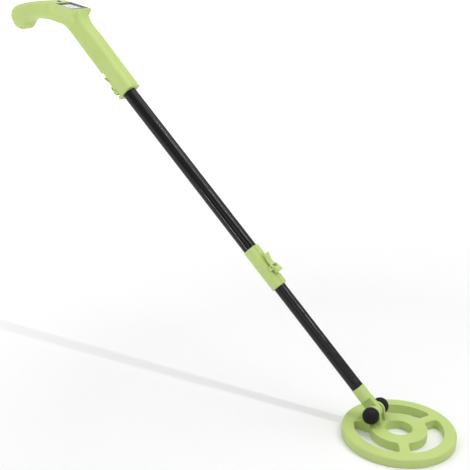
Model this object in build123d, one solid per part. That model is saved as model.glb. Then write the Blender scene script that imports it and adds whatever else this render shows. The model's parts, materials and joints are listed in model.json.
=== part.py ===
from build123d import *
from math import cos, radians, sin
import os

os.makedirs("parts", exist_ok=True)

# A hand-held metal detector. Millimetres and degrees, +Z up. The origin is the centre of the
# search coil on its flat underside, and the pole rises from there towards -X.

# ---- driving sizes: how the detector stands ----
pole_angle = 43.2            # pole above the coil's plane
pivot_back = 37.7            # coil centre back to the coil pivot
pivot_height = 28.9          # coil underside up to the coil pivot

# ---- search coil ----
coil_radius = 82.5
coil_height = 13.5
ring_inner_radius = 65.0
hub_radius = 41.0
hub_hole_radius = 19.5
ear_spoke_width = 33.0       # the spoke under the ears
plain_spoke_width = 14.0
window_corner = 5.5
coil_edge_round = 3.0
coil_wall = 2.2              # walls and roof of the coil housing
base_thickness = 2.5
base_gap = 0.1               # base cover in its rebate
winding_height = 6.5
winding_gap = 1.0            # winding to its channel walls

# ---- coil pivot ----
tongue_thickness = 9.0
tongue_radius = 9.5
washer_thickness = 1.0
washer_radius = 8.0
ear_gap = 0.05               # ear to washer, and washer to tongue
ear_thickness = 4.6
ear_radius = 11.0
ear_base_back = 63.0         # coil centre back to the rear foot of an ear
ear_base_front = 23.0
pad_height = 0.8
pad_width = 26.0
lead_hole_radius = 2.5
bolt_radius = 3.0
bolt_clearance = 0.05
bolt_head_radius = 5.5
bolt_head_depth = 4.0
knob_radius = 12.4
knob_stand = 7.0             # ear's outer face out to a knob's centre
knob_gap = 0.4               # knob's flat to the ear
knob_screw_out = 1.6         # bolt's end short of the knob's crown

# ---- pole, measured from the coil pivot along the pole ----
fitting_bottom = 19.7        # the round part of the lower fitting
fitting_top = 42.4           # where the lower tube starts
fitting_radius = 10.0
spigot_length = 20.0
lower_tube_radius = 9.5
lower_tube_wall = 1.0
lower_tube_length = 338.0
upper_tube_radius = 11.0
upper_tube_wall = 1.2
collar_bottom = 230.6
collar_length = 71.6
collar_wall = 1.2
collar_seat = 26.4           # collar's lower end up to the upper tube's end
mouth_station = 613.7        # the handle's socket mouth
socket_insertion = 86.0      # upper tube inside the handle
running_gap = 0.05
bush_length = 12.0
bush_plug_length = 8.0
extension_pitch = 25.0       # from one locking hole to the next
lower_hole_count = 5
upper_hole_count = 3
locking_hole_radius = 2.5

# ---- locking levers, the same part on the collar and on the handle ----
lever_width = 12.0
lever_length = 34.0
lever_foot_gap = 0.7         # handle's round socket out to the lever's underside
lever_hump_height = 7.4      # heights above the lever's underside
lever_scoop_height = 1.8
lever_tip_height = 5.0
lever_pivot_up = 10.5        # lever's lower end up to its pin
lever_pivot_height = 2.1
lever_pin_radius = 1.2
lever_pin_gap = 0.05
lever_side_gap = 0.35
cheek_thickness = 2.0
cheek_length = 7.0
peg_radius = 2.0
peg_up = 3.6                 # lever's lower end up to the peg
peg_tip_gap = 0.35           # peg's tip to the tube it locks
peg_hole_gap = 1.0
spring_wire = 0.7
spring_coil_radius = 2.3
lever_seat_depth = 0.8       # relief in the handle under its lever
collar_lever_up = 17.9       # collar's lower end up to its lever
handle_lever_up = 11.9       # socket mouth up to its lever
rail_width = 10.5
rail_height = 1.3

# ---- handle ----
arm_drop = 43.2              # grip to arm
arm_lean = 1.0               # the arm's top and bottom lean off the pole's line
shell_wall = 2.2
socket_wall = 2.2            # round sleeve about the upper tube
arm_side_wall = 1.8          # walls outside the sleeve
arm_top_wall = 3.8
arm_bottom_wall = 1.2
arch_radius = 60.0           # the arch under the grip
arch_start = 137.0           # up the arm to where the arch leaves it
neck_start = 100.0           # up the arm to where the neck leaves it
neck_swell = 3.0             # neck in front of the display's edge
grip_outline = ((-162, 131.0), (-190, 128.0), (-214, 123.3), (-230.5, 116.3), (-236.5, 104.5), (-231.5, 90.5),
                (-217.5, 82.3), (-205.5, 86.3), (-198.5, 95.3), (-187, 100.9))
socket_length = 125.0
recess_length = 52.0         # relieved underside round the lever
recess_depth_line = 7.0      # pole axis to the top of the relief
edge_round = 8.0
mouth_lug_radius = 3.4
mouth_lug_up = 4.2
mouth_lug_low = 2.3          # sleeve out to the lower lug's middle
mouth_lug_high = 1.7
mouth_lug_width = 12.0

# ---- display head ----
display_tilt = 10.9          # display below the grip's line
display_forward = -112.4     # socket mouth to the display's centre
display_up = 125.6
display_length = 38.0
display_rear_width = 36.5
display_front_width = 39.3
rim_front = 4.5
head_rear = 33.0             # display's centre to the head's rear end
head_shoulder = 21.0         # display's centre back to where the head is flared
head_rear_width = 35.0
head_shoulder_width = 40.4
head_front_width = 44.5
head_depth = 29.0
head_lip = 2.5
bezel_proud = 0.2            # bezel above the lip
bezel_thickness = 2.1
bezel_side = 1.9
bezel_front = 4.6
fit_gap = 0.2                # loose fits inside the head
window_thickness = 1.0
window_lip = 1.4
panel_thickness = 2.4
board_thickness = 1.6
board_inset = 2.0            # board's sides inside the panel's
board_tail_length = 17.0
board_tail_width = 12.0
buzzer_radius = 6.0
buzzer_height = 5.0
button_behind = 27.0         # display's centre back to the button
button_radius = 3.3
button_gap = 0.1
button_proud = 0.7
button_travel = 0.8
button_flange = 1.2
switch_size = 6.0

# ---- battery ----
cell_radius = 5.25
cell_length = 44.5
cell_gap = 0.4               # from one cell to the next
cell_front = -147.0          # socket mouth to the cells' front ends
cell_up = 112.5
contact_thickness = 0.5
holder_roof = 0.6            # holder over the cells
holder_gap = 0.05
cell_side_room = 2.1         # cells to the handle's inside
door_front = -150.0
door_length = 38.0
door_width = 21.0
door_gap = 0.3
door_pin_radius = 0.6
door_pin_half = 12.0

# ---- fasteners ----
screw_radius = 1.2
screw_head_radius = 2.7
screw_head_height = 1.8
screw_gap = 0.05
boss_radius = 3.4
screw_reach = 4.8            # screw past the middle plane
screw_seat = 4.2             # middle plane out to under a screw's head
elbow_boss = (-114.0, 0, 97.0)
rear_boss = (-221.0, 0, 99.0)

# ---- worked-out sizes ----
collar_radius = upper_tube_radius + collar_wall
socket_radius = upper_tube_radius + socket_wall
arm_top = socket_radius + arm_top_wall
arm_bottom = socket_radius + arm_bottom_wall
arm_line = radians(arm_drop + arm_lean)
lever_foot = socket_radius + lever_foot_gap
lever_hump = lever_foot + lever_hump_height
lever_scoop = lever_foot + lever_scoop_height
lever_tip = lever_foot + lever_tip_height
lever_pivot_out = lever_foot + lever_pivot_height
cell_spacing = 2 * cell_radius + cell_gap
holder_height = cell_radius + holder_gap + holder_roof
half_width = max(socket_radius + arm_side_wall, cell_spacing / 2 + cell_radius + cell_side_room + shell_wall)

# ---- worked-out places ----
pole = Plane(
    origin=(-pivot_back, 0, pivot_height),
    x_dir=(sin(radians(pole_angle)), 0, cos(radians(pole_angle))),
    z_dir=(-cos(radians(pole_angle)), 0, sin(radians(pole_angle))),
).location
# On the pole: X out of its top side, Y across, Z up the pole from the coil pivot.
handle = Plane(
    origin=(0, 0, mouth_station),
    x_dir=(sin(radians(arm_drop)), 0, -cos(radians(arm_drop))),
    z_dir=(cos(radians(arm_drop)), 0, sin(radians(arm_drop))),
).location
# In the handle: X forward along the grip, Z up, from the middle of the socket mouth.
display = handle * Pos(display_forward, 0, display_up) * Rot(0, display_tilt, 0)
# On the display: X towards the coil, Z out of the display.
lever_on_collar = Pos(0, 0, collar_bottom + collar_lever_up)
lever_on_handle = Pos(0, 0, mouth_station + handle_lever_up) * Rot(0, 0, 180)
collar_peg = collar_bottom + collar_lever_up + peg_up
handle_peg = mouth_station + handle_lever_up + peg_up
upper_tube_bottom = collar_bottom + collar_seat
upper_tube_top = mouth_station + socket_insertion
ear_inner = tongue_thickness / 2 + washer_thickness + 2 * ear_gap
ear_outer = ear_inner + ear_thickness
knob_centre = ear_outer + knob_stand
arch_low = arch_start * sin(radians(arm_drop)) + (arch_start * sin(radians(arm_lean)) - arm_bottom) * cos(
    radians(arm_drop))
arch_height = arch_low + arch_radius * (1 - cos(arm_line))
door_axis_up = arch_height + shell_wall / 2

parts = {}


def cylinder_between(radius, low, high):
    """A rod along Z from low to high."""
    return Pos(0, 0, (low + high) / 2) * Cylinder(radius, high - low)


def cross_rod(radius, low, high):
    """A rod along Y from low to high."""
    return Pos(0, (low + high) / 2, 0) * Rot(90, 0, 0) * Cylinder(radius, high - low)


def block(x_range, y_range, z_range):
    """A box given by its lowest and highest coordinates."""
    size = [b - a for a, b in (x_range, y_range, z_range)]
    middle = [(a + b) / 2 for a, b in (x_range, y_range, z_range)]
    return Pos(*middle) * Box(*size)


def slab(profile, half):
    """A profile drawn on XZ, thickened equally to both sides of the middle plane."""
    return extrude(profile, amount=half, both=True)


# ---------------------------------------------------------------- search coil

def coil_plan(inset):
    """The coil seen from above: ring, hub, three spokes. inset shrinks it all round."""
    plan = Circle(coil_radius - inset) - Circle(hub_hole_radius + inset)
    gap = Circle(ring_inner_radius + inset) - Circle(hub_radius - inset)
    reach = coil_radius
    ear_spoke = ear_spoke_width - 2 * inset
    plain_spoke = plain_spoke_width - 2 * inset
    gap -= Pos(-reach / 2, 0) * Rectangle(reach, ear_spoke)
    for turn in (60, -60):
        gap -= Rot(0, 0, turn) * Pos(reach / 2, 0) * Rectangle(reach, plain_spoke)
    return plan - fillet(gap.vertices(), window_corner + inset)


def winding_channels(extra):
    """Annular spaces of the outer ring and of the hub, seen from above."""
    ring = Circle(coil_radius - coil_wall - extra) - Circle(ring_inner_radius + coil_wall + extra)
    hub = Circle(hub_radius - coil_wall - extra) - Circle(hub_hole_radius + coil_wall + extra)
    return ring, hub


def ear_profile():
    """An ear's side: a rounded top about the pivot, spreading to its foot on the coil."""
    low = coil_height - 1
    top = Pos(-pivot_back, pivot_height) * Circle(ear_radius)
    foot = [(-ear_base_back, low), (-ear_base_front, low)]
    shoulder = [
        (-pivot_back + ear_radius * cos(radians(angle)), pivot_height + ear_radius * sin(radians(angle)))
        for angle in (14, 50, 96, 143)
    ]
    return Plane.XZ * (top + make_face(Polyline(*foot, *shoulder, close=True)))


def make_coil():
    """Coil housing with its ears, base cover and the two windings."""
    top = extrude(coil_plan(0), coil_height)
    rim = top.faces().sort_by(Axis.Z)[-1].edges().filter_by(GeomType.CIRCLE)
    outer = rim.sort_by(lambda e: e.radius)[-1]
    top = fillet(outer, coil_edge_round)
    top -= extrude(coil_plan(coil_wall), base_thickness)
    for face in winding_channels(0):
        top -= Pos(0, 0, base_thickness) * extrude(face, coil_height - base_thickness - coil_wall)
    top += block((-ear_base_back - 1, -ear_base_front + 2.5), (-pad_width / 2, pad_width / 2),
                 (coil_height - 1, coil_height + pad_height))
    ear = Pos(0, (ear_inner + ear_outer) / 2, 0) * slab(ear_profile(), ear_thickness / 2)
    ear = fillet(ear.faces().sort_by(Axis.Y)[-1].edges(), 1.2)
    top += ear + mirror(ear, Plane.XZ)
    at_pivot = Pos(-pivot_back, 0, pivot_height)
    top -= at_pivot * cross_rod(bolt_radius + bolt_clearance, -ear_outer, ear_outer)
    lead_hole = Pos(-pivot_back - ear_radius - lead_hole_radius, 0, coil_height)
    top -= lead_hole * Cylinder(lead_hole_radius, 3 * coil_wall + 2 * pad_height)
    parts["coil_housing"] = top
    parts["coil_base"] = extrude(coil_plan(coil_wall + base_gap), base_thickness)
    ring, hub = winding_channels(winding_gap)
    parts["transmit_winding"] = Pos(0, 0, base_thickness) * extrude(ring, winding_height)
    parts["receive_winding"] = Pos(0, 0, base_thickness) * extrude(hub, winding_height)


def make_pivot():
    """Bolt, its two ball knobs, the brass nut and the friction washers."""
    at_pivot = Pos(-pivot_back, 0, pivot_height)
    knob_flat = ear_outer + knob_gap
    head_start = knob_centre - bolt_head_depth / 2
    bolt_end = knob_centre + knob_radius - knob_screw_out - bolt_head_depth
    bolt = cross_rod(bolt_radius, -head_start, bolt_end)
    head = Plane.XZ.offset(head_start) * RegularPolygon(bolt_head_radius, 6)
    bolt += extrude(head, bolt_head_depth)
    knob = Pos(0, knob_centre, 0) * Sphere(knob_radius)
    knob &= block((-20, 20), (knob_flat, knob_centre + knob_radius - 0.8), (-20, 20))
    rim = knob.edges().sort_by(Axis.Y)
    knob = fillet([rim[0], rim[-1]], 0.7)
    nut = Plane.XZ.offset(-head_start) * RegularPolygon(bolt_head_radius, 6)
    nut = extrude(nut, -bolt_head_depth)
    nut_knob = knob - cross_rod(bolt_radius + bolt_clearance, 0, bolt_end + 0.5) - nut
    nut -= cross_rod(bolt_radius + bolt_clearance, 0, knob_centre + knob_radius)
    parts["pivot_bolt"] = at_pivot * bolt
    parts["bolt_knob"] = at_pivot * (mirror(knob, Plane.XZ) - bolt)
    parts["nut_knob"] = at_pivot * nut_knob
    parts["knob_nut"] = at_pivot * nut
    low = tongue_thickness / 2 + ear_gap
    washer = cross_rod(washer_radius, low, low + washer_thickness)
    washer -= cross_rod(bolt_radius + bolt_clearance, low - 1, low + washer_thickness + 1)
    parts["friction_washers"] = at_pivot * Compound([washer, mirror(washer, Plane.XZ)])


# ---------------------------------------------------------------- pole

def tube(radius, wall, low, high):
    return cylinder_between(radius, low, high) - cylinder_between(radius - wall, low - 1, high + 1)


def locking_holes(first, count, side):
    """Round holes through one side of a tube, one pitch apart up the pole."""
    reach = upper_tube_radius + 2
    return [
        Pos(side * reach / 2, 0, first + extension_pitch * i) * Rot(0, 90, 0)
        * Cylinder(locking_hole_radius, reach)
        for i in range(count)
    ]


def make_fitting():
    """The tongue between the coil's ears and the spigot that plugs the lower tube."""
    spigot_radius = lower_tube_radius - lower_tube_wall
    tongue = cross_rod(tongue_radius, -tongue_thickness / 2, tongue_thickness / 2)
    tongue += block((-tongue_radius, tongue_radius), (-tongue_thickness / 2, tongue_thickness / 2),
                    (0, fitting_bottom + 2))
    body = cylinder_between(fitting_radius, fitting_bottom, fitting_top)
    body = chamfer(body.edges().sort_by(Axis.Z)[0], 1.5)
    fitting = tongue + body + cylinder_between(spigot_radius, fitting_top, fitting_top + spigot_length)
    fitting -= cross_rod(bolt_radius + bolt_clearance, -tongue_thickness, tongue_thickness)
    lead_bend = fitting_bottom + 6
    fitting -= cylinder_between(lead_hole_radius, lead_bend, fitting_top + spigot_length + 1)
    fitting -= Pos(-fitting_radius / 2, 0, lead_bend) * Rot(0, 90, 0) * Cylinder(lead_hole_radius, fitting_radius)
    parts["lower_fitting"] = fitting


def make_tubes():
    """Lower tube, its guide bush, and the upper tube that it slides in."""
    lower_top = fitting_top + lower_tube_length
    lower = tube(lower_tube_radius, lower_tube_wall, fitting_top, lower_top)
    lower -= locking_holes(collar_peg, lower_hole_count, 1)
    parts["lower_tube"] = lower
    bush_radius = upper_tube_radius - upper_tube_wall - running_gap
    bore = lower_tube_radius - lower_tube_wall - 2
    bush = cylinder_between(bush_radius, lower_top, lower_top + bush_length)
    bush = chamfer(bush.edges().sort_by(Axis.Z)[-1], 0.8)
    bush += cylinder_between(lower_tube_radius - lower_tube_wall, lower_top - bush_plug_length, lower_top)
    bush -= cylinder_between(bore, lower_top - bush_plug_length - 1, lower_top + bush_length + 1)
    parts["guide_bush"] = bush
    upper = tube(upper_tube_radius, upper_tube_wall, upper_tube_bottom, upper_tube_top)
    upper -= locking_holes(handle_peg, upper_hole_count, -1)
    parts["upper_tube"] = upper


def rail(low, high):
    """A flat-topped strip that leads up to a locking lever."""
    top = collar_radius + rail_height
    strip = block((collar_radius - 2, top), (-rail_width / 2, rail_width / 2), (low, high))
    return chamfer(strip.faces().sort_by(Axis.X)[-1].edges().filter_by(Axis.Z), 1.0)


def lever_cheeks(surface):
    """The two cheeks that hold a lever's pin, at the lever's own place."""
    inner = lever_width / 2 + lever_side_gap
    cheek = block((surface - 3, lever_pivot_out + 1.6), (inner, inner + cheek_thickness),
                  (lever_pivot_up - cheek_length / 2, lever_pivot_up + cheek_length / 2))
    cheek = fillet(cheek.faces().sort_by(Axis.X)[-1].edges().filter_by(Axis.Y), 1.6)
    both = cheek + mirror(cheek, Plane.XZ)
    return both - lever_pin_place() * cross_rod(lever_pin_radius, -20, 20)


def lever_pin_place():
    return Pos(lever_pivot_out, 0, lever_pivot_up)


def make_collar():
    """The plastic collar on the upper tube's lower end, with its lever's seat."""
    top = collar_bottom + collar_length
    collar = cylinder_between(collar_radius, collar_bottom, top)
    collar = fillet(collar.edges().filter_by(GeomType.CIRCLE), 0.5)
    lever_low = collar_bottom + collar_lever_up
    collar += rail(collar_bottom + 0.6, lever_low - 2.5)
    collar += rail(lever_low + lever_length + 2, top - 0.6)
    collar += lever_on_collar * lever_cheeks(collar_radius)
    collar -= cylinder_between(lower_tube_radius + running_gap, collar_bottom - 1, upper_tube_bottom)
    collar -= cylinder_between(upper_tube_radius, upper_tube_bottom, top + 1)
    collar -= Pos(collar_radius, 0, collar_peg) * Rot(0, 90, 0) * Cylinder(peg_radius + peg_hole_gap, 8)
    parts["collar"] = collar


def lever_outline():
    """A lever's side: hump over the peg, scooped finger pad, turned-up tip."""
    end = lever_length
    foot = lever_foot
    with BuildSketch(Plane.XZ) as side:
        with BuildLine():
            Polyline((foot, 0), (lever_hump - 0.8, 0), (lever_hump, 1.2), (lever_hump - 0.2, 5.5))
            Spline((lever_hump - 0.2, 5.5), (lever_scoop + 1.6, 12.5), (lever_scoop, 19),
                   (lever_scoop + 0.9, 25.5), (lever_tip - 0.3, end - 3.4))
            ThreePointArc((lever_tip - 0.3, end - 3.4), (lever_tip - 0.2, end - 0.6), (lever_tip - 1.8, end))
            Spline((lever_tip - 1.8, end), (foot + 1.1, end - 6.5), (foot, end - 16))
            Line((foot, end - 16), (foot, 0))
        make_face()
    return side.sketch


def make_lever(name, place, tube_radius):
    """A rocking lever: its peg drops towards the tube, a torsion spring holds it down."""
    lever = slab(lever_outline(), lever_width / 2)
    long_edges = lever.faces().sort_by(Axis.Y)
    lever = fillet([e for f in (long_edges[0], long_edges[-1]) for e in f.edges()], 0.8)
    cavity_top = lever_hump - 1.6
    cavity = block((lever_foot + 1.0, cavity_top), (-4.2, 4.2), (-1, peg_up + 3.0))
    lever -= fillet(cavity.edges().filter_by(Axis.Z), 2.3)
    pocket = spring_coil_radius + spring_wire + 0.4
    lever -= lever_pin_place() * cross_rod(pocket, -3.6, 3.6)
    lever -= lever_pin_place() * cross_rod(lever_pin_radius + lever_pin_gap, -20, 20)
    peg_tip = tube_radius + peg_tip_gap
    peg = Pos((peg_tip + cavity_top + 0.5) / 2, 0, peg_up) * Rot(0, 90, 0)
    peg *= Cylinder(peg_radius, cavity_top + 0.5 - peg_tip)
    lever += peg
    pin_half = lever_width / 2 + lever_side_gap + cheek_thickness
    pin = lever_pin_place() * cross_rod(lever_pin_radius, -pin_half, pin_half)
    turns = 6
    coil = lever_pin_place() * Compound([
        Pos(0, (i - (turns - 1) / 2) * (spring_wire + 0.02), 0) * Rot(90, 0, 0)
        * Torus(spring_coil_radius, spring_wire / 2)
        for i in range(turns)
    ])
    parts[name + "_lever"] = place * lever
    parts[name + "_lever_pin"] = place * pin
    parts[name + "_lever_spring"] = place * coil


# ---------------------------------------------------------------- handle

def inward(curve, fractions, inset):
    """Points on a curve of the side view, moved square off it towards the inside."""
    points = []
    for fraction in fractions:
        spot = curve @ fraction
        along = curve % fraction
        points.append((spot.X - inset * along.Y, spot.Y + inset * along.X))
    return points


def handle_side(inset):
    """The handle's side view in its own frame: arm, under-grip arch, grip end and head."""
    drop = radians(arm_drop)
    tilt = radians(display_tilt)

    def on_arm(out, up):
        return (out * sin(drop) - up * cos(drop), out * cos(drop) + up * sin(drop))

    def on_display(forward, out):
        return (display_forward + forward * cos(tilt) + out * sin(tilt),
                display_up - forward * sin(tilt) + out * cos(tilt))

    lip = display_length / 2 + rim_front
    lean = sin(radians(arm_lean))
    up_arm = (-cos(arm_line), sin(arm_line))
    neck_low = on_arm(arm_top + lean * neck_start, neck_start)
    neck_high = on_display(lip, 0)
    neck = Spline(neck_low, (neck_high[0] + neck_swell, neck_high[1] - 10), neck_high, tangents=[up_arm, (-0.3, 1)])
    arch_front = on_arm(-arm_bottom + lean * arch_start, arch_start)
    arch_back = (arch_front[0] - arch_radius * sin(arm_line), arch_front[1] + arch_radius * (1 - cos(arm_line)))
    grip = Spline(on_display(-head_rear, 0), *grip_outline, arch_back, tangents=[(-1, 0.1), (1, 0)])
    if inset:
        corner = on_display(lip - 1.3 * inset, -inset)
        neck = Spline(*inward(neck, (0, 0.2, 0.4, 0.6), inset), corner, tangents=[up_arm, (-0.3, 1)])
        steps = [i / 16 for i in range(1, 17)]
        grip = Spline(on_display(-head_rear, -inset), *inward(grip, steps, inset),
                      tangents=[(-1, 0.1), (1, 0)])
    with BuildSketch(Plane.XZ) as side:
        with BuildLine():
            start = on_arm(-arm_bottom + inset, 0)
            Polyline(start, on_arm(arm_top - inset, 0), neck @ 0)
            add(neck)
            Line(neck @ 1, grip @ 0)
            add(grip)
            arch = JernArc(grip @ 1, (1, 0), arch_radius + inset, -arm_drop - arm_lean)
            Line(arch @ 1, start)
        make_face()
    return side.sketch


def long_edges(blank, upper):
    """The edges along both sides: those over the arm, or those round the grip and underneath."""
    drop = radians(arm_drop)
    chosen = []
    for face in (blank.faces().sort_by(Axis.Y)[0], blank.faces().sort_by(Axis.Y)[-1]):
        for edge in face.edges():
            straight = edge.geom_type == GeomType.LINE
            head_top = straight and abs(edge.tangent_at(0).Z) < sin(drop) / 2
            mouth = straight and edge.length < arm_top + arm_bottom + 1
            middle = edge @ 0.5
            over_arm = middle.X * sin(drop) + middle.Z * cos(drop) > 0
            if not head_top and not mouth and over_arm == upper:
                chosen.append(edge)
    return chosen


def rounded_handle(inset):
    """The arm and grip as one solid, shrunk by inset, its long edges rounded."""
    solid = slab(handle_side(inset), half_width - inset)
    solid = fillet(long_edges(solid, True), edge_round - inset)
    return fillet(long_edges(solid, False), edge_round - inset)


def handle_blank():
    """The outside of the arm and grip."""
    return rounded_handle(0)


def handle_hollow():
    """The space inside the arm and grip, one wall thickness in all round."""
    return rounded_handle(shell_wall)


def head_plan(depth, rear_half, shoulder_half, front_half, rear_inset, front_inset):
    """A level section of the display head: narrow behind, flared at the shoulders."""
    rear = -head_rear + rear_inset
    front = display_length / 2 + rim_front - front_inset
    side = [(rear, rear_half), (-head_shoulder, shoulder_half), (front, front_half)]
    corners = side + [(x, -y) for x, y in reversed(side)]
    plan = make_face(Polyline(*corners, close=True))
    return Pos(0, 0, -depth) * fillet(plan.vertices(), 2.5)


def display_head():
    """The flared housing round the display, blending down into the arm's width."""
    brim = (head_rear_width / 2, head_shoulder_width / 2, head_front_width / 2, 0, 0)
    lip = extrude(head_plan(head_lip, *brim), head_lip)
    lip = fillet(lip.faces().sort_by(Axis.Z)[-1].edges(), 0.9)
    sections = [
        head_plan(head_lip, *brim),
        head_plan(head_depth * 0.3, half_width + 1.3, half_width + 2.8, half_width + 4, 0.6, 0.6),
        head_plan(head_depth * 0.62, half_width + 0.3, half_width + 0.6, half_width + 1, 2, 1),
        head_plan(head_depth, half_width - 0.5, half_width - 0.5, half_width - 0.5, 6, 6),
    ]
    return lip + loft(sections)


def display_layer(rear, front, side, top, bottom):
    """A level layer of the display's outline, wider in front, shrunk behind, in front and at the sides."""
    low = -display_length / 2 + rear
    high = display_length / 2 - front
    flare = (display_front_width - display_rear_width) / display_length
    middle = (display_rear_width + display_front_width) / 4 - side
    corners = [(x, sign * (middle + x * flare / 2)) for x, sign in ((low, 1), (high, 1), (high, -1), (low, -1))]
    return Pos(0, 0, bottom) * extrude(make_face(Polyline(*corners, close=True)), top - bottom)


def display_cuts():
    """Stepped pocket for the bezel, window, panel and board, and the button's hole."""
    seat = bezel_thickness - bezel_proud
    under_window = seat + window_thickness
    under_panel = under_window + panel_thickness
    lip = window_lip + fit_gap
    board = board_inset - fit_gap
    inside = half_width - shell_wall
    rear = -display_length / 2 + bezel_side
    front = display_length / 2 - bezel_front
    return [
        display_layer(-fit_gap, -fit_gap, -fit_gap, 3, -seat),
        display_layer(bezel_side - lip, bezel_front - lip, bezel_side - lip, -seat + 0.1, -under_window),
        display_layer(bezel_side - fit_gap, bezel_front - fit_gap, bezel_side - fit_gap,
                      -under_window + 0.1, -under_panel),
        display_layer(bezel_side - fit_gap, bezel_front - fit_gap, bezel_side + board,
                      -under_panel + 0.1, -under_panel - board_thickness - fit_gap),
        block((rear, front), (-inside, inside), (-head_depth * 0.6, -under_panel)),
        Pos(-button_behind, 0, 0) * Cylinder(button_radius + button_gap, 4 * shell_wall),
    ]


def arm_place():
    """The pole's own frame, seen from the handle."""
    return handle.inverse() * Pos(0, 0, mouth_station)


def screw_places():
    """Each shell screw's place in the handle's side view, and whether it is in a mouth lug."""
    arm = arm_place()
    low_lug = (arm * Pos(-socket_radius - mouth_lug_low, 0, mouth_lug_up)).position
    high_lug = (arm * Pos(socket_radius + mouth_lug_high, 0, mouth_lug_up)).position
    return [(low_lug, True), (high_lug, True), (Vector(*elbow_boss), False), (Vector(*rear_boss), False)]


def shell_screw():
    """A countersunk-head screw along Y, its head towards the left shell."""
    seat = screw_seat
    screw = cross_rod(screw_radius, -screw_reach, seat) + cross_rod(screw_head_radius, seat, seat + screw_head_height)
    drive = seat + screw_head_height
    for turn in (0, 90):
        screw -= Rot(0, turn, 0) * block((-1.7, 1.7), (drive - 0.8, drive + 1), (-0.35, 0.35))
    return screw


def door_region(gap):
    """The part of the grip's underside that the battery door takes up."""
    low = door_front - door_length - gap
    half = door_width / 2 + gap
    panel = block((low, door_front), (-half, half), (arch_height - 14, arch_height + shell_wall + 3))
    bead = Pos(door_front, 0, door_axis_up) * cross_rod(shell_wall / 2 + gap, -half, half)
    return panel, bead


def make_handle():
    """Left and right shells, with the socket, bosses and the lever's seat."""
    arm = arm_place()
    display_local = handle.inverse() * display
    outer = handle_blank() + display_local * display_head()
    hollow = handle_hollow()
    solid_arm = block((-40, 40), (-40, 40), (-5, recess_length + 4))
    hollow -= arm * solid_arm
    sleeve = arm * cylinder_between(socket_radius, 0, socket_length)
    body = outer - hollow + (sleeve & outer)
    relief = block((-30, -recess_depth_line), (-30, 30), (-5, recess_length))
    relief -= cylinder_between(socket_radius, -6, recess_length + 1)
    body -= arm * relief
    seat = socket_radius - lever_seat_depth
    half = lever_width / 2 + lever_side_gap + 0.1
    body -= arm * block((-20, -seat), (-half, half),
                        (handle_lever_up - 1.5, handle_lever_up + lever_length + 2))
    body += handle.inverse() * lever_on_handle * lever_cheeks(socket_radius)
    pin_half = door_width / 2 + door_gap
    for place, is_lug in screw_places():
        reach = mouth_lug_width / 2 if is_lug else half_width - shell_wall
        radius = mouth_lug_radius if is_lug else boss_radius
        boss = Pos(*place) * cross_rod(radius, -reach, reach)
        body += fillet(boss.edges(), 0.6) if is_lug else boss
    panel, bead = door_region(door_gap)
    hinge_block = block((door_front - 2.4, door_front + 2.6), (pin_half, half_width - shell_wall),
                        (door_axis_up - 0.4, door_axis_up + 2.2))
    body += [hinge_block, mirror(hinge_block, Plane.XZ)]
    body -= [panel, bead]
    body -= Pos(door_front, 0, door_axis_up) * cross_rod(door_pin_radius, -door_pin_half, door_pin_half)
    for place, is_lug in screw_places():
        body -= Pos(*place) * cross_rod(screw_radius + screw_gap, -screw_reach - 1, screw_seat)
        body -= Pos(*place) * cross_rod(screw_head_radius + 0.2, screw_seat, 40)
    body -= [display_local * cut for cut in display_cuts()]
    body -= arm * cylinder_between(upper_tube_radius + running_gap, -1, socket_length + 1)
    body -= arm * (Pos(-socket_radius, 0, handle_lever_up + peg_up) * Rot(0, 90, 0)
                   * Cylinder(peg_radius + peg_hole_gap, 8))
    left = body & block((-400, 100), (0, 60), (-100, 300))
    right = body & block((-400, 100), (-60, 0), (-100, 300))
    parts["handle_shell_left"] = handle * left
    parts["handle_shell_right"] = handle * right
    door_panel, door_bead = door_region(0)
    door = (door_panel & (handle_blank() - handle_hollow())) + door_bead
    door -= Pos(door_front, 0, door_axis_up) * cross_rod(door_pin_radius + screw_gap, -20, 20)
    parts["battery_door"] = handle * door
    pin = Pos(door_front, 0, door_axis_up) * cross_rod(door_pin_radius, -door_pin_half, door_pin_half)
    parts["door_pin"] = handle * pin
    parts["shell_screws"] = handle * Compound([Pos(*place) * shell_screw() for place, _ in screw_places()])


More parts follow.
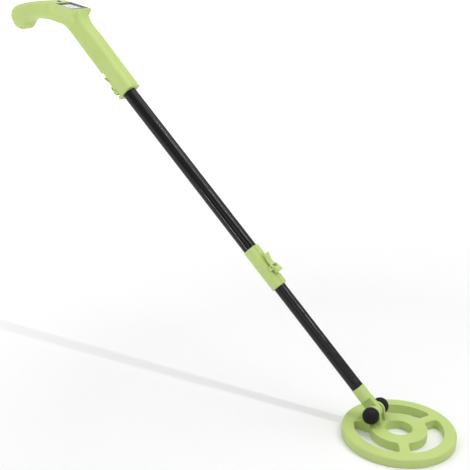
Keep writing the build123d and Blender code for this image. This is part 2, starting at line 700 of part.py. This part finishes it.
def make_display():
    """Bezel, window, panel, circuit board, buzzer, switch and the push button."""
    seat = bezel_thickness - bezel_proud
    bezel = display_layer(0, 0, 0, bezel_proud, -seat)
    bezel -= display_layer(bezel_side, bezel_front, bezel_side, 1, -seat - 1)
    bezel = chamfer(bezel.faces().sort_by(Axis.Z)[-1].edges(), 0.4)
    under_window = seat + window_thickness
    under_panel = under_window + panel_thickness
    under_board = under_panel + board_thickness
    window = display_layer(bezel_side - window_lip, bezel_front - window_lip, bezel_side - window_lip,
                           -seat, -under_window)
    panel = display_layer(bezel_side, bezel_front, bezel_side, -under_window, -under_panel)
    board = display_layer(bezel_side, bezel_front, bezel_side + board_inset, -under_panel, -under_board)
    tail_front = -display_length / 2 + bezel_side + 1
    board += block((tail_front - 1 - board_tail_length, tail_front), (-board_tail_width / 2, board_tail_width / 2),
                   (-under_board, -under_panel))
    buzzer = Pos(0, 0, -under_board - buzzer_height / 2) * Cylinder(buzzer_radius, buzzer_height)
    buzzer -= Pos(0, 0, -under_board - buzzer_height) * Cylinder(1.2, 2)
    flange_top = shell_wall + fit_gap / 4
    pressed = flange_top + button_flange + button_travel + fit_gap / 4
    switch = block((-button_behind - switch_size / 2, -button_behind + switch_size / 2),
                   (-switch_size / 2, switch_size / 2), (-under_panel, -pressed))
    cap = cylinder_between(button_radius, -flange_top - button_flange, button_proud)
    cap = fillet(cap.edges().sort_by(Axis.Z)[-1], 0.5)
    cap += cylinder_between(button_radius + 1.2, -flange_top - button_flange, -flange_top)
    parts["display_bezel"] = display * bezel
    parts["display_window"] = display * window
    parts["display_panel"] = display * panel
    parts["circuit_board"] = display * board
    parts["buzzer"] = display * buzzer
    parts["button_switch"] = display * switch
    parts["power_button"] = display * Pos(-button_behind, 0, 0) * cap


def make_battery():
    """Two cells side by side in a cradle, with a contact plate at each end."""
    cell_back = cell_front - cell_length
    lie = Rot(0, -90, 0)
    one = Pos(cell_front - cell_length / 2, 0, cell_up) * lie * Cylinder(cell_radius, cell_length)
    cells = [Pos(0, side * cell_spacing / 2, 0) * one for side in (-1, 1)]
    groove = Pos(cell_front - cell_length / 2, 0, cell_up) * lie
    groove *= Cylinder(cell_radius + holder_gap, cell_length + 2)
    holder = block((cell_back, cell_front), (-half_width + shell_wall, half_width - shell_wall),
                   (cell_up, cell_up + holder_height))
    holder -= [Pos(0, side * cell_spacing / 2, 0) * groove for side in (-1, 1)]
    plate = block((cell_front, cell_front + contact_thickness), (-cell_spacing, cell_spacing),
                  (cell_up - cell_radius + 1, cell_up + cell_radius))
    plates = [plate, Pos(-cell_length - contact_thickness, 0, 0) * plate]
    parts["battery_cells"] = handle * Compound(cells)
    parts["battery_contacts"] = handle * Compound(plates)
    parts["battery_holder"] = handle * holder


make_coil()
make_pivot()
make_fitting()
make_tubes()
make_collar()
make_lever("collar", lever_on_collar, lower_tube_radius)
make_lever("handle", lever_on_handle, upper_tube_radius)
make_handle()
make_display()
make_battery()

ground_nodes = ("coil_housing", "coil_base", "transmit_winding", "receive_winding", "pivot_bolt",
                "bolt_knob", "nut_knob", "knob_nut", "friction_washers")
for name, shape in parts.items():
    place = Location() if name in ground_nodes else pole
    export_step(place * shape, f"parts/{name}.step")
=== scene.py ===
import json
from math import cos, pi, radians, sin

import bpy
from bpy.props import FloatProperty, FloatVectorProperty, IntProperty, PointerProperty
from mathutils import Matrix, Vector


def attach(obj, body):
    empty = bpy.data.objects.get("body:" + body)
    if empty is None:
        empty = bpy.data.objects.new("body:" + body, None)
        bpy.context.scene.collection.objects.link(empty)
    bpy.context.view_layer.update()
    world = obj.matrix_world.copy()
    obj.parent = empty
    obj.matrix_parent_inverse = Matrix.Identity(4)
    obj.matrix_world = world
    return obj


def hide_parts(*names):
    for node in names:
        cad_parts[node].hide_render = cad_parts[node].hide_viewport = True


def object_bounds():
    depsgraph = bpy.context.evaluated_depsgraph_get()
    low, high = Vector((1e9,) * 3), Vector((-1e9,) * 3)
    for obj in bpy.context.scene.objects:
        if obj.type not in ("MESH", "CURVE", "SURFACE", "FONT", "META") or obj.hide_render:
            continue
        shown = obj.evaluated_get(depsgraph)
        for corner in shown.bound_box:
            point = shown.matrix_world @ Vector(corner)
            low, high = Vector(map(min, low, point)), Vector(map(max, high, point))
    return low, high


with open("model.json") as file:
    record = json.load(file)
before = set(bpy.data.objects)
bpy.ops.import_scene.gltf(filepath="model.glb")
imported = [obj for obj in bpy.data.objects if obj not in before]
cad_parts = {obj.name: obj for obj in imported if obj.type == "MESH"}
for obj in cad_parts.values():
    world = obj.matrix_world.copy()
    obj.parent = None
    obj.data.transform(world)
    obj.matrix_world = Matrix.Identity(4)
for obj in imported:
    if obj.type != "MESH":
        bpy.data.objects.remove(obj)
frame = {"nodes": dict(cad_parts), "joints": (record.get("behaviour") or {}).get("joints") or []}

bl_info = {
    "name": "Metal detector",
    "version": (1, 0, 0),
    "blender": (4, 5, 0),
    "location": "3D View > Sidebar > Detector",
    "description": "Finishes, lever springs and stage of a hand-held metal detector",
    "category": "Object",
}

CAD_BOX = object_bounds()
NODES = frame["nodes"]
JOINTS = {joint["name"]: joint for joint in frame["joints"]}

# ---- places read from the frame: the pivot, the pole's line and the sides of the pole ----
PIVOT = Vector(JOINTS["coil_tilt"]["pos_m"])
UP_POLE = -Vector(JOINTS["upper_pole_slide"]["axis"]).normalized()
OUT_OF_POLE = Vector((0, 1, 0)).cross(UP_POLE).normalized()

# ---- springs: the pitch as a share of the wire, the mesh's fineness, and where edges stay sharp ----
PITCH_OVER_WIRE = 1.04
WIRE_SIDES = 10
STEPS_PER_TURN = 28
SMOOTH_ANGLE = radians(40)

# ---- brushed metal: how often its grain repeats along each axis ----
BRUSHED_GRAIN = (700, 700, 60)

# ---- stage: lengths in metres, the sensor in millimetres ----
FLOOR_SIZE = 60
FLOOR_PLACE = (0, 0, -0.0004)
GLOW_PER_METRE = 0.2
GLOW_STRENGTH = 0.8
SKY_STRENGTH = 0.42
STRIP_WIDTH = 0.02
STRIP_DISTANCE = 1.5
SENSOR_WIDTH = 36

# name, place from the object's middle, width and height, share of the stage's light
BOX_LAMPS = (
    ("top", (0.1, 0.7, 2.6), (4.2, 3.2), 4.2),
    ("fill", (1.2, -1.9, 1.0), (1.4, 1.0), 0.25),
    ("key", (-1.2, -0.9, 1.3), (1.2, 0.9), 0.62),
)

# name, degrees round the pole from the near side to its top side, distance up the pole,
# length, share of the stage's light
STRIP_LAMPS = (
    ("upper_strip", 96, 0.3, 1.4, 0.45),
    ("lower_strip", -14, 0.47, 0.5, 0.16),
)


def on_pole(out, across, up):
    """A point measured from the coil pivot: out of the pole's top side, across, and up the pole."""
    return PIVOT + OUT_OF_POLE * out + Vector((0, across, 0)) + UP_POLE * up


# ---------------------------------------------------------------- shader maths

class Value:
    """A shader socket that Python's own operators work on."""

    def __init__(self, shader, socket):
        self.shader = shader
        self.socket = socket

    def _maths(self, operation, *inputs):
        return self.shader.node("ShaderNodeMath", {"operation": operation}, inputs)

    def __add__(self, other):
        return self._maths("ADD", self, other)

    def __sub__(self, other):
        return self._maths("SUBTRACT", self, other)

    def __mul__(self, other):
        return self._maths("MULTIPLY", self, other)

    def clamp(self):
        """Kept between 0 and 1."""
        return self._maths("MAXIMUM", self._maths("MINIMUM", self, 1.0), 0.0)

    def size(self):
        """Without its sign."""
        return self._maths("ABSOLUTE", self)

    def below(self, limit):
        """1 where it is under the limit, 0 elsewhere."""
        return self._maths("LESS_THAN", self, limit)


class Shader:
    """One material's node tree."""

    def __init__(self, name):
        self.material = bpy.data.materials.new(name)
        self.material.use_nodes = True
        self.tree = self.material.node_tree
        self.surface = self.tree.nodes["Principled BSDF"]

    def node(self, kind, settings=None, inputs=(), output=0):
        """Adds a node: its settings first, then the values or links of its sockets."""
        made = self.tree.nodes.new(kind)
        for name, setting in (settings or {}).items():
            if name == "stops":
                fill_ramp(made.color_ramp, setting)
            else:
                setattr(made, name, setting)
        pairs = inputs.items() if isinstance(inputs, dict) else enumerate(inputs)
        for socket, value in pairs:
            self.put(made.inputs[socket], value)
        return Value(self, made.outputs[output])

    def put(self, socket, value):
        if isinstance(value, Value):
            self.tree.links.new(value.socket, socket)
        else:
            socket.default_value = value

    def place(self):
        return self.node("ShaderNodeTexCoord", output="Object")

    def stretched(self, scale):
        return self.node("ShaderNodeMapping", inputs={"Vector": self.place(), "Scale": scale})

    def noise(self, scale, detail, roughness):
        return self.node("ShaderNodeTexNoise", {"noise_dimensions": "3D"}, {
            "Vector": self.place(), "Scale": scale, "Detail": detail, "Roughness": roughness})

    def ramp(self, factor, *stops):
        return self.node("ShaderNodeValToRGB", {"stops": stops}, {"Fac": factor})

    def blend(self, factor, first, second):
        """Mixes two colours, which the Mix node takes at sockets 6 and 7 and gives at output 2."""
        colours = {0: factor, 6: first, 7: second}
        return self.node("ShaderNodeMix", {"data_type": "RGBA"}, colours, output=2)

    def bump(self, height, strength, distance):
        return self.node("ShaderNodeBump", inputs={
            "Strength": strength, "Distance": distance, "Height": height})

    def finish(self, **sockets):
        for name, value in sockets.items():
            self.put(self.surface.inputs[name.replace("_", " ").title().replace("Ior", "IOR")], value)
        return self.material


def fill_ramp(ramp, stops):
    for index, (position, grey) in enumerate(stops):
        element = ramp.elements[index] if index < 2 else ramp.elements.new(position)
        element.position = position
        element.color = (grey, grey, grey, 1)


def shade(colour, factor):
    """A colour made lighter or darker."""
    return tuple(min(1.0, channel * factor) for channel in colour[:3]) + (1.0,)


# ---------------------------------------------------------------- materials

def moulded_plastic(name, colour, roughness, grain, speckle=900.0, gloss=0.5, parting=0.0):
    """Injection-moulded plastic: spark-eroded grain, faint flow marks and rubbed spots.

    parting is the width of the dark line where two shells meet on the middle plane."""
    shader = Shader(name)
    flow = shader.noise(14.0, 4.0, 0.6)
    soil = shader.noise(55.0, 6.0, 0.65)
    grit = shader.noise(speckle, 2.0, 0.6)
    marks = shader.ramp(flow, (0.3, 0.0), (0.7, 1.0))
    tone = shader.blend(marks, shade(colour, 0.955), shade(colour, 1.035))
    rubbed = shader.ramp(soil, (0.56, 0.0), (0.74, 1.0))
    tone = shader.blend(rubbed * 0.22, tone, shade(colour, 0.86))
    if parting:
        across = shader.node("ShaderNodeSeparateXYZ", inputs=[shader.place()], output="Y")
        tone = shader.blend(across.size().below(parting / 2) * 0.5, tone, shade(colour, 0.25))
    sheen = (flow - 0.5) * 0.12 + rubbed * 0.1 + (grit - 0.5) * 0.1 + roughness
    return shader.finish(
        base_color=tone,
        roughness=sheen.clamp(),
        specular_ior_level=gloss,
        normal=shader.bump(grit + soil * 0.6, grain, 0.0002),
    )


def anodised_tube(name, colour):
    """Drawn tube, anodised black: fine lengthwise draw lines, a clear gloss and light scuffs."""
    shader = Shader(name)
    turned = shader.node("ShaderNodeMapping", inputs={
        "Vector": shader.place(), "Rotation": (0, UP_POLE.angle(Vector((0, 0, 1))), 0)})
    lines = shader.node("ShaderNodeMapping", inputs={"Vector": turned, "Scale": (1500, 1500, 9)})
    drawn = shader.node("ShaderNodeTexNoise", {"noise_dimensions": "3D"}, {
        "Vector": lines, "Scale": 1.0, "Detail": 2.0})
    cloud = shader.noise(30.0, 5.0, 0.6)
    scuffs = shader.ramp(shader.noise(260.0, 6.0, 0.7), (0.62, 0.0), (0.7, 1.0))
    tone = shader.blend(cloud, shade(colour, 0.8), shade(colour, 1.5))
    tone = shader.blend(scuffs * 0.06, tone, (0.12, 0.12, 0.13, 1))
    return shader.finish(
        base_color=tone,
        roughness=((drawn - 0.5) * 0.03 + cloud * 0.02 + scuffs * 0.06 + 0.06).clamp(),
        specular_ior_level=0.34,
        normal=shader.bump(drawn, 0.03, 0.0001),
    )


def plain_metal(name, colour, roughness):
    """Bare or plated metal with a fine brushed grain and a little tarnish."""
    shader = Shader(name)
    grain = shader.node("ShaderNodeTexNoise", {"noise_dimensions": "3D"}, {
        "Vector": shader.stretched(BRUSHED_GRAIN), "Scale": 1.0, "Detail": 3.0})
    tarnish = shader.noise(180.0, 5.0, 0.6)
    dulled = shader.ramp(tarnish, (0.45, 0.0), (0.75, 1.0))
    return shader.finish(
        base_color=shader.blend(dulled, shade(colour, 1.0), shade(colour, 0.7)),
        metallic=1.0,
        roughness=((grain - 0.5) * 0.2 + tarnish * 0.12 + roughness).clamp(),
        normal=shader.bump(grain, 0.08, 0.0001),
    )


def clear_window(name):
    """Clear acrylic: mostly see-through, with fine hairline scratches."""
    shader = Shader(name)
    hair = shader.node("ShaderNodeTexNoise", {"noise_dimensions": "3D"}, {
        "Vector": shader.stretched((60, 1400, 60)), "Scale": 1.0, "Detail": 2.0})
    return shader.finish(
        base_color=(0.96, 0.98, 0.98, 1),
        roughness=((hair - 0.5) * 0.05 + 0.07).clamp(),
        alpha=0.08,
    )


def crystal_panel(name, colour):
    """The pale face of a liquid-crystal panel: faint cell rows and a cloudy polariser."""
    shader = Shader(name)
    cloud = shader.noise(90.0, 3.0, 0.5)
    rows = shader.node("ShaderNodeTexWave", {"wave_type": "BANDS", "bands_direction": "Y"}, {
        "Vector": shader.place(), "Scale": 700.0, "Distortion": 0.0})
    tone = shader.blend(cloud, shade(colour, 0.95), shade(colour, 1.04))
    tone = shader.blend(rows * 0.05, tone, shade(colour, 0.8))
    return shader.finish(base_color=tone, roughness=(cloud * 0.1 + 0.3).clamp(),
                         normal=shader.bump(rows, 0.03, 0.0001))


def board_laminate(name, colour):
    """Green solder mask over woven glass, with copper tracks showing through."""
    shader = Shader(name)
    tracks = shader.node("ShaderNodeTexBrick", {"offset": 0.5}, {
        "Vector": shader.place(), "Scale": 160.0, "Mortar Size": 0.06, "Color1": (0, 0, 0, 1),
        "Color2": (0, 0, 0, 1), "Mortar": (1, 1, 1, 1)})
    weave = shader.noise(1500.0, 1.0, 0.5)
    tone = shader.blend(tracks, shade(colour, 1.0), shade(colour, 2.2))
    return shader.finish(base_color=tone, roughness=(weave * 0.2 + 0.3).clamp(),
                         normal=shader.bump(tracks, 0.2, 0.0001))


def soft_rubber(name, colour):
    """Matt rubber with a dusty bloom."""
    shader = Shader(name)
    bloom = shader.noise(300.0, 5.0, 0.65)
    grit = shader.noise(2200.0, 2.0, 0.5)
    dusty = shader.ramp(bloom, (0.45, 0.0), (0.8, 1.0))
    tone = shader.blend(dusty, shade(colour, 1.0), shade(colour, 2.0))
    return shader.finish(base_color=tone, roughness=(bloom * 0.2 + 0.45).clamp(),
                         normal=shader.bump(grit, 0.15, 0.0001))


def wound_wire(name, colour):
    """Enamelled copper turns under resin."""
    shader = Shader(name)
    turns = shader.node("ShaderNodeTexWave", {"wave_type": "RINGS", "rings_direction": "Z"}, {
        "Vector": shader.place(), "Scale": 330.0, "Distortion": 1.0})
    tone = shader.blend(turns, shade(colour, 0.5), shade(colour, 1.6))
    return shader.finish(base_color=tone, metallic=0.5, roughness=(turns * 0.1 + 0.25).clamp(),
                         normal=shader.bump(turns, 0.3, 0.0003), coat_weight=0.8)


# ---------------------------------------------------------------- what a user may change

class DetectorColours(bpy.types.PropertyGroup):
    """The object's colours."""

    case: FloatVectorProperty(
        name="Case", description="Moulded case, collar, levers and search coil", subtype="COLOR",
        size=4, min=0, max=1, default=(0.500, 0.630, 0.200, 1))
    tube: FloatVectorProperty(
        name="Tube", description="Anodised pole tubes", subtype="COLOR",
        size=4, min=0, max=1, default=(0.004, 0.004, 0.0045, 1))
    knob: FloatVectorProperty(
        name="Knob", description="Ball knobs of the coil's joint", subtype="COLOR",
        size=4, min=0, max=1, default=(0.009, 0.007, 0.010, 1))
    bezel: FloatVectorProperty(
        name="Bezel", description="Frame round the display", subtype="COLOR",
        size=4, min=0, max=1, default=(0.215, 0.220, 0.205, 1))
    panel: FloatVectorProperty(
        name="Panel", description="Face of the liquid-crystal panel", subtype="COLOR",
        size=4, min=0, max=1, default=(0.930, 0.930, 0.940, 1))


class DetectorSizes(bpy.types.PropertyGroup):
    """Sizes of the locking levers' torsion springs.

    The coil is narrower than the CAD's rings, so that it stays under the lever's finger pad."""

    wire: FloatProperty(
        name="Wire", description="Thickness of the spring wire", subtype="DISTANCE", unit="LENGTH",
        default=0.0007, min=0.0003)
    coil: FloatProperty(
        name="Coil", description="Radius of the spring at the middle of its wire", subtype="DISTANCE",
        unit="LENGTH", default=0.0016, min=0.001)
    turns: IntProperty(name="Turns", description="Full turns of wire", default=5, min=2)
    leg: FloatProperty(
        name="Leg", description="Straight end of the wire", subtype="DISTANCE", unit="LENGTH",
        default=0.0012, min=0.0)


class DetectorStage(bpy.types.PropertyGroup):
    """The camera and the light."""

    azimuth: FloatProperty(
        name="Azimuth", description="Camera's turn round the detector", subtype="ANGLE",
        default=radians(31.58))
    elevation: FloatProperty(
        name="Elevation", description="Camera's height above the horizon", subtype="ANGLE",
        default=radians(19.28))
    roll: FloatProperty(
        name="Roll", description="Camera's turn about its own view", subtype="ANGLE",
        default=radians(-1.12))
    position: FloatVectorProperty(
        name="Position", description="Camera's place", subtype="TRANSLATION", size=3,
        default=(0.36794, -1.06397, 0.68961))
    lens: FloatProperty(
        name="Lens", description="Focal length on a 36 mm wide sensor, in millimetres", default=66.40)
    light: FloatProperty(
        name="Light", description="Watts that each lamp's own share multiplies", default=13.0, min=0)


# ---------------------------------------------------------------- operators: finishes

def paint(material, *names):
    for name in names:
        slots = NODES[name].data.materials
        if len(slots):
            for index in range(len(slots)):
                slots[index] = material
        else:
            slots.append(material)


class DETECTOR_OT_case(bpy.types.Operator):
    """Gives the moulded case parts, the collar, the levers and the coil their finish"""
    bl_idname = "detector.case"
    bl_label = "Case and coil plastic"

    def execute(self, context):
        colours = context.scene.detector_colours
        shells = moulded_plastic("shell_plastic", colours.case, 0.42, 0.10, parting=0.0003)
        paint(shells, "handle_shell_left", "handle_shell_right")
        case = moulded_plastic("case_plastic", colours.case, 0.42, 0.10)
        paint(case, "battery_door", "collar", "collar_lever", "handle_lever")
        coil = moulded_plastic("coil_plastic", colours.case, 0.45, 0.12)
        paint(coil, "coil_housing", "coil_base", "lower_fitting")
        return {"FINISHED"}


class DETECTOR_OT_pole(bpy.types.Operator):
    """Gives the tubes, the guide bush and the ball knobs their finish"""
    bl_idname = "detector.pole"
    bl_label = "Pole and knobs"

    def execute(self, context):
        colours = context.scene.detector_colours
        paint(anodised_tube("tube_anodised", colours.tube), "lower_tube", "upper_tube")
        knob = moulded_plastic("knob_plastic", colours.knob, 0.62, 0.25, speckle=1600.0, gloss=0.22)
        paint(knob, "bolt_knob", "nut_knob")
        paint(moulded_plastic("bush_plastic", (0.7, 0.7, 0.66), 0.4, 0.08), "guide_bush")
        return {"FINISHED"}


class DETECTOR_OT_hardware(bpy.types.Operator):
    """Gives the bolt, nut, pins, screws and contacts their metal finishes"""
    bl_idname = "detector.hardware"
    bl_label = "Metal hardware"

    def execute(self, context):
        steel = plain_metal("plated_steel", (0.55, 0.55, 0.56), 0.28)
        paint(steel, "pivot_bolt", "door_pin")
        blackened = plain_metal("blackened_pin", (0.07, 0.075, 0.06), 0.5)
        paint(blackened, "collar_lever_pin", "handle_lever_pin")
        paint(plain_metal("screw_steel", (0.30, 0.30, 0.31), 0.35), "shell_screws")
        paint(plain_metal("turned_brass", (0.72, 0.5, 0.2), 0.25), "knob_nut")
        paint(plain_metal("contact_plate", (0.62, 0.61, 0.58), 0.25), "battery_contacts")
        paint(plain_metal("cell_sleeve", (0.34, 0.36, 0.40), 0.3), "battery_cells")
        paint(soft_rubber("washer_rubber", (0.02, 0.02, 0.02)), "friction_washers")
        paint(wound_wire("wound_wire", (0.42, 0.16, 0.05)), "transmit_winding", "receive_winding")
        return {"FINISHED"}


class DETECTOR_OT_display(bpy.types.Operator):
    """Gives the display, its electronics and the button their finish"""
    bl_idname = "detector.display"
    bl_label = "Display and electronics"

    def execute(self, context):
        colours = context.scene.detector_colours
        paint(moulded_plastic("bezel_plastic", colours.bezel, 0.34, 0.06), "display_bezel")
        paint(clear_window("window_clear"), "display_window")
        paint(crystal_panel("crystal_panel", colours.panel), "display_panel")
        paint(board_laminate("board_laminate", (0.03, 0.2, 0.07)), "circuit_board")
        black = moulded_plastic("black_plastic", (0.02, 0.02, 0.021), 0.45, 0.1)
        paint(black, "buzzer", "button_switch", "battery_holder")
        paint(soft_rubber("button_rubber", (0.012, 0.014, 0.012)), "power_button")
        return {"FINISHED"}


# ---------------------------------------------------------------- operator: springs

def wound_spring(name, sizes):
    """A close-wound torsion spring about Z, centred on the origin, with a straight leg at each end."""
    pitch = sizes.wire * PITCH_OVER_WIRE
    bpy.ops.object.select_all(action="DESELECT")
    bpy.ops.mesh.primitive_circle_add(
        vertices=WIRE_SIDES, radius=sizes.wire / 2, rotation=(pi / 2, 0, 0),
        location=(sizes.coil, 0, -sizes.turns * pitch / 2))
    spring = bpy.context.active_object
    spring.name = name
    bpy.ops.object.transform_apply(location=True, rotation=True, scale=True)
    turned = spring.modifiers.new("turns", "SCREW")
    turned.axis = "Z"
    turned.iterations = sizes.turns
    turned.screw_offset = pitch
    turned.steps = STEPS_PER_TURN
    turned.render_steps = STEPS_PER_TURN
    bpy.ops.object.modifier_apply(modifier="turns")
    add_legs(spring, sizes, pitch)
    return spring


def add_legs(spring, sizes, pitch):
    """Draws both ends of the wire out straight and closes them."""
    half = sizes.turns * pitch / 2
    for side in (-1, 1):
        bpy.ops.object.mode_set(mode="EDIT")
        bpy.ops.mesh.select_mode(type="EDGE")
        bpy.ops.mesh.select_all(action="DESELECT")
        bpy.ops.mesh.select_non_manifold()
        bpy.ops.object.mode_set(mode="OBJECT")
        for edge in spring.data.edges:
            heights = [spring.data.vertices[index].co.z for index in edge.vertices]
            edge.select = edge.select and all(abs(z - side * half) < sizes.wire for z in heights)
        bpy.ops.object.mode_set(mode="EDIT")
        bpy.ops.mesh.extrude_region_move(TRANSFORM_OT_translate={"value": (0, side * sizes.leg, 0)})
        bpy.ops.mesh.fill_holes(sides=0)
        bpy.ops.object.mode_set(mode="OBJECT")
    bpy.ops.object.mode_set(mode="EDIT")
    bpy.ops.mesh.select_all(action="SELECT")
    bpy.ops.mesh.normals_make_consistent(inside=False)
    bpy.ops.object.mode_set(mode="OBJECT")


class DETECTOR_OT_springs(bpy.types.Operator):
    """Winds each locking lever's torsion spring, in place of its row of plain rings"""
    bl_idname = "detector.springs"
    bl_label = "Lever springs"

    def execute(self, context):
        sizes = context.scene.detector_sizes
        wire = plain_metal("spring_wire", (0.45, 0.45, 0.46), 0.3)
        for lever, body in (("collar", "upper_pole"), ("handle", "handle")):
            spring = wound_spring(lever + "_torsion_spring", sizes)
            spring.rotation_euler = (pi / 2, 0, 0)
            spring.location = JOINTS[lever + "_lever_press"]["pos_m"]
            bpy.ops.object.transform_apply(location=True, rotation=True, scale=True)
            bpy.ops.object.shade_smooth_by_angle(angle=SMOOTH_ANGLE)
            spring.data.materials.append(wire)
            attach(spring, body)
            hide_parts(lever + "_lever_spring")
        return {"FINISHED"}


# ---------------------------------------------------------------- operator: stage

class DETECTOR_OT_stage(bpy.types.Operator):
    """Makes the floor, the lamps and the camera"""
    bl_idname = "detector.stage"
    bl_label = "Floor, light and camera"

    def execute(self, context):
        settings = context.scene.detector_stage
        make_floor()
        make_lamps(context.scene, settings.light)
        make_camera(context.scene, settings)
        return {"FINISHED"}


def make_floor():
    """A pale, flat floor that glows more the farther it lies from the origin."""
    bpy.ops.object.select_all(action="DESELECT")
    bpy.ops.mesh.primitive_plane_add(size=FLOOR_SIZE, location=FLOOR_PLACE)
    floor = bpy.context.active_object
    floor.name = "floor"
    shader = Shader("floor_paper")
    tint = shader.noise(3.0, 3.0, 0.5)
    tone = shader.blend(tint, (0.88, 0.88, 0.88, 1), (0.91, 0.91, 0.91, 1))
    away = shader.node("ShaderNodeVectorMath", {"operation": "LENGTH"}, [shader.place()], output="Value")
    glow = shader.ramp(away * GLOW_PER_METRE, (0.1, 0.0), (0.75, 1.0))
    floor.data.materials.append(shader.finish(
        base_color=tone, roughness=0.9, emission_color=glow, emission_strength=GLOW_STRENGTH))


def add_lamp(name, place, turn, size, energy):
    bpy.ops.object.light_add(type="AREA", location=place, rotation=turn)
    lamp = bpy.context.active_object
    lamp.name = name + "_lamp"
    lamp.data.shape = "RECTANGLE"
    lamp.data.size, lamp.data.size_y = size
    lamp.data.energy = energy


def make_lamps(scene, strength):
    """A wide box overhead, a weak fill, a key from the handle's side, and two strips along the pole."""
    middle = (Vector(CAD_BOX[0]) + Vector(CAD_BOX[1])) / 2
    for name, offset, size, share in BOX_LAMPS:
        place = middle + Vector(offset)
        turn = (middle - place).to_track_quat("-Z", "Y").to_euler()
        add_lamp(name, place, turn, size, strength * share)
    for name, angle, up, length, share in STRIP_LAMPS:
        out = Vector((0, -1, 0)) * cos(radians(angle)) + OUT_OF_POLE * sin(radians(angle))
        turn = Matrix((UP_POLE, out.cross(UP_POLE), out)).transposed().to_euler()
        place = on_pole(0, 0, up) + out * STRIP_DISTANCE
        add_lamp(name, place, turn, (length, STRIP_WIDTH), strength * share)
    world = scene.world or bpy.data.worlds.new("pale_world")
    scene.world = world
    world.use_nodes = True
    sky = world.node_tree.nodes["Background"]
    sky.inputs["Color"].default_value = (1.0, 1.0, 1.0, 1)
    sky.inputs["Strength"].default_value = SKY_STRENGTH


def make_camera(scene, settings):
    """A long lens, a little above the detector and off to its right."""
    a, e, r = settings.azimuth, settings.elevation, settings.roll
    back = Vector((sin(a) * cos(e), -cos(a) * cos(e), sin(e)))
    right = (-back).cross(Vector((0, 0, 1))).normalized()
    down = (-back).cross(right)
    across = cos(r) * right + sin(r) * down
    below = cos(r) * down - sin(r) * right
    turn = Matrix((across, -below, back)).transposed().to_euler()
    bpy.ops.object.camera_add(location=settings.position, rotation=turn)
    camera = bpy.context.active_object
    camera.name = "camera"
    camera.data.lens = settings.lens
    camera.data.sensor_width = SENSOR_WIDTH
    scene.camera = camera
    scene.view_settings.view_transform = "Standard"


# ---------------------------------------------------------------- panel and registration

OPERATORS = (DETECTOR_OT_case, DETECTOR_OT_pole, DETECTOR_OT_hardware, DETECTOR_OT_display,
             DETECTOR_OT_springs, DETECTOR_OT_stage)


class DETECTOR_PT_panel(bpy.types.Panel):
    """Lists the colours, the stage settings and the steps"""
    bl_label = "Metal detector"
    bl_idname = "DETECTOR_PT_panel"
    bl_space_type = "VIEW_3D"
    bl_region_type = "UI"
    bl_category = "Detector"

    def draw(self, context):
        scene = context.scene
        for group in (scene.detector_colours, scene.detector_sizes, scene.detector_stage):
            for name in group.__annotations__:
                self.layout.prop(group, name)
        for operator in OPERATORS:
            self.layout.operator(operator.bl_idname)


CLASSES = (DetectorColours, DetectorSizes, DetectorStage) + OPERATORS + (DETECTOR_PT_panel,)


def register():
    for cls in CLASSES:
        bpy.utils.register_class(cls)
    bpy.types.Scene.detector_colours = PointerProperty(type=DetectorColours)
    bpy.types.Scene.detector_sizes = PointerProperty(type=DetectorSizes)
    bpy.types.Scene.detector_stage = PointerProperty(type=DetectorStage)


def unregister():
    del bpy.types.Scene.detector_stage
    del bpy.types.Scene.detector_sizes
    del bpy.types.Scene.detector_colours
    for cls in reversed(CLASSES):
        bpy.utils.unregister_class(cls)


def main():
    register()
    bpy.ops.object.select_all(action="DESELECT")
    bpy.ops.detector.case()
    bpy.ops.detector.pole()
    bpy.ops.detector.hardware()
    bpy.ops.detector.display()
    bpy.ops.detector.springs()
    bpy.ops.detector.stage()


if __name__ == "__main__":
    main()
